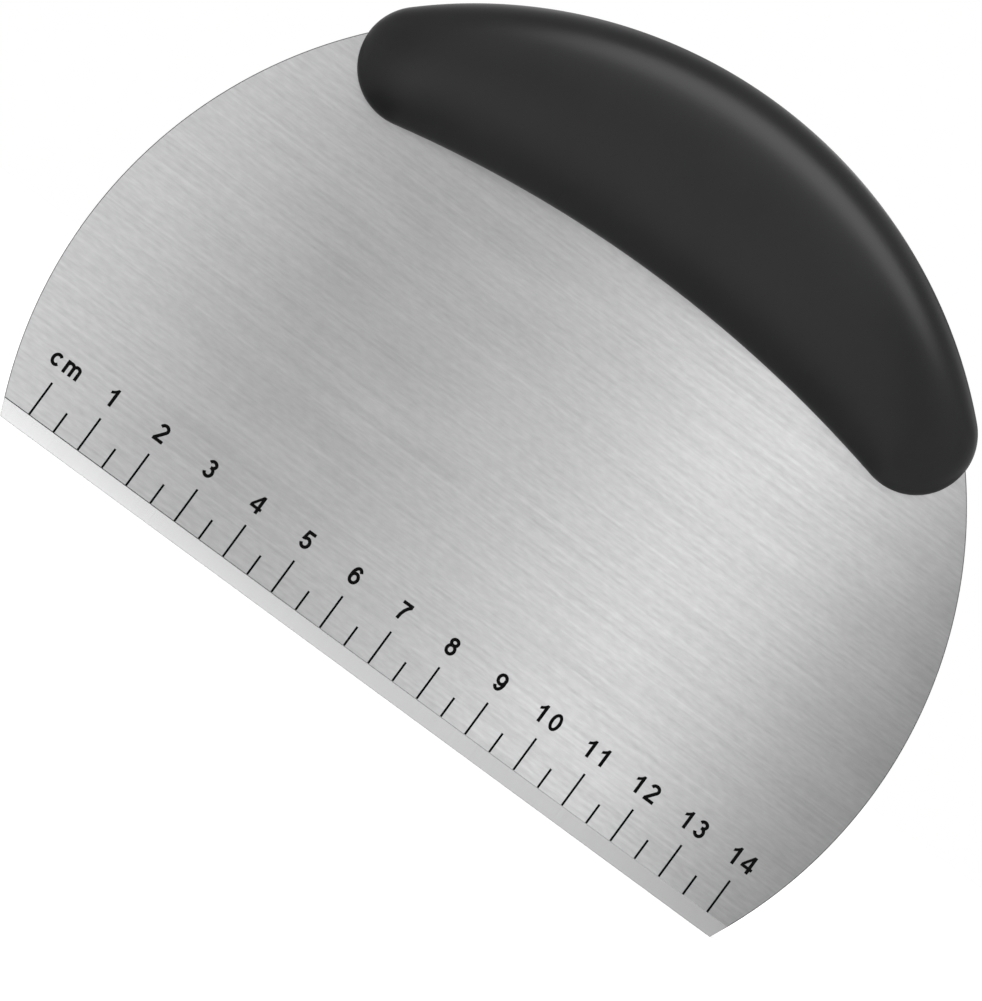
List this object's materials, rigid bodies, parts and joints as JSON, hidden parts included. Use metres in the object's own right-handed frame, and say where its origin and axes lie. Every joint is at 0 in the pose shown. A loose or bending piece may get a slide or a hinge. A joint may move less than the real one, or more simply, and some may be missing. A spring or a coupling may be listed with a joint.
{
  "type": "bench scraper",
  "caption": "Half-moon brushed steel dough scraper with a ground straight edge, a centimetre scale along it and a thick black soft-grip handle over the arc.",
  "frame": {"origin": "middle of the straight cutting edge, in the blade's mid-plane", "axes": "+X along the cutting edge in the direction the scale reads, +Y out of the blade's plain back face, +Z from the edge up to the handle; the face with the scale looks along -Y"},
  "size_m": [0.1624, 0.0198, 0.1186],
  "materials": {
    "blade_steel": "fine straight brushing along the edge",
    "soft_grip": "satin soft-touch moulding",
    "core_plastic": "plain moulded",
    "rivet_steel": "plain turned",
    "scale_ink": "flat black print"
  },
  "bodies": {
    "root": {"blade": "blade_steel", "grip": "soft_grip", "core_front": "core_plastic", "core_back": "core_plastic", "rivet_left": "rivet_steel", "rivet_middle": "rivet_steel", "rivet_right": "rivet_steel", "letter_c": "scale_ink", "letter_m": "scale_ink", "numeral_1": "scale_ink", "numeral_10_tens": "scale_ink", "numeral_10_units": "scale_ink", "numeral_11_tens": "scale_ink", "numeral_11_units": "scale_ink", "numeral_12_tens": "scale_ink", "numeral_12_units": "scale_ink", "numeral_13_tens": "scale_ink", "numeral_13_units": "scale_ink", "numeral_14_tens": "scale_ink", "numeral_14_units": "scale_ink", "numeral_2": "scale_ink", "numeral_3": "scale_ink", "numeral_4": "scale_ink", "numeral_5": "scale_ink", "numeral_6": "scale_ink", "numeral_7": "scale_ink", "numeral_8": "scale_ink", "numeral_9": "scale_ink", "tick_long_00": "scale_ink", "tick_long_01": "scale_ink", "tick_long_02": "scale_ink", "tick_long_03": "scale_ink", "tick_long_04": "scale_ink", "tick_long_05": "scale_ink", "tick_long_06": "scale_ink", "tick_long_07": "scale_ink", "tick_long_08": "scale_ink", "tick_long_09": "scale_ink", "tick_long_10": "scale_ink", "tick_long_11": "scale_ink", "tick_long_12": "scale_ink", "tick_long_13": "scale_ink", "tick_long_14": "scale_ink", "tick_short_00": "scale_ink", "tick_short_01": "scale_ink", "tick_short_02": "scale_ink", "tick_short_03": "scale_ink", "tick_short_04": "scale_ink", "tick_short_05": "scale_ink", "tick_short_06": "scale_ink", "tick_short_07": "scale_ink", "tick_short_08": "scale_ink", "tick_short_09": "scale_ink", "tick_short_10": "scale_ink", "tick_short_11": "scale_ink", "tick_short_12": "scale_ink", "tick_short_13": "scale_ink"}
  },
  "joints": []
}
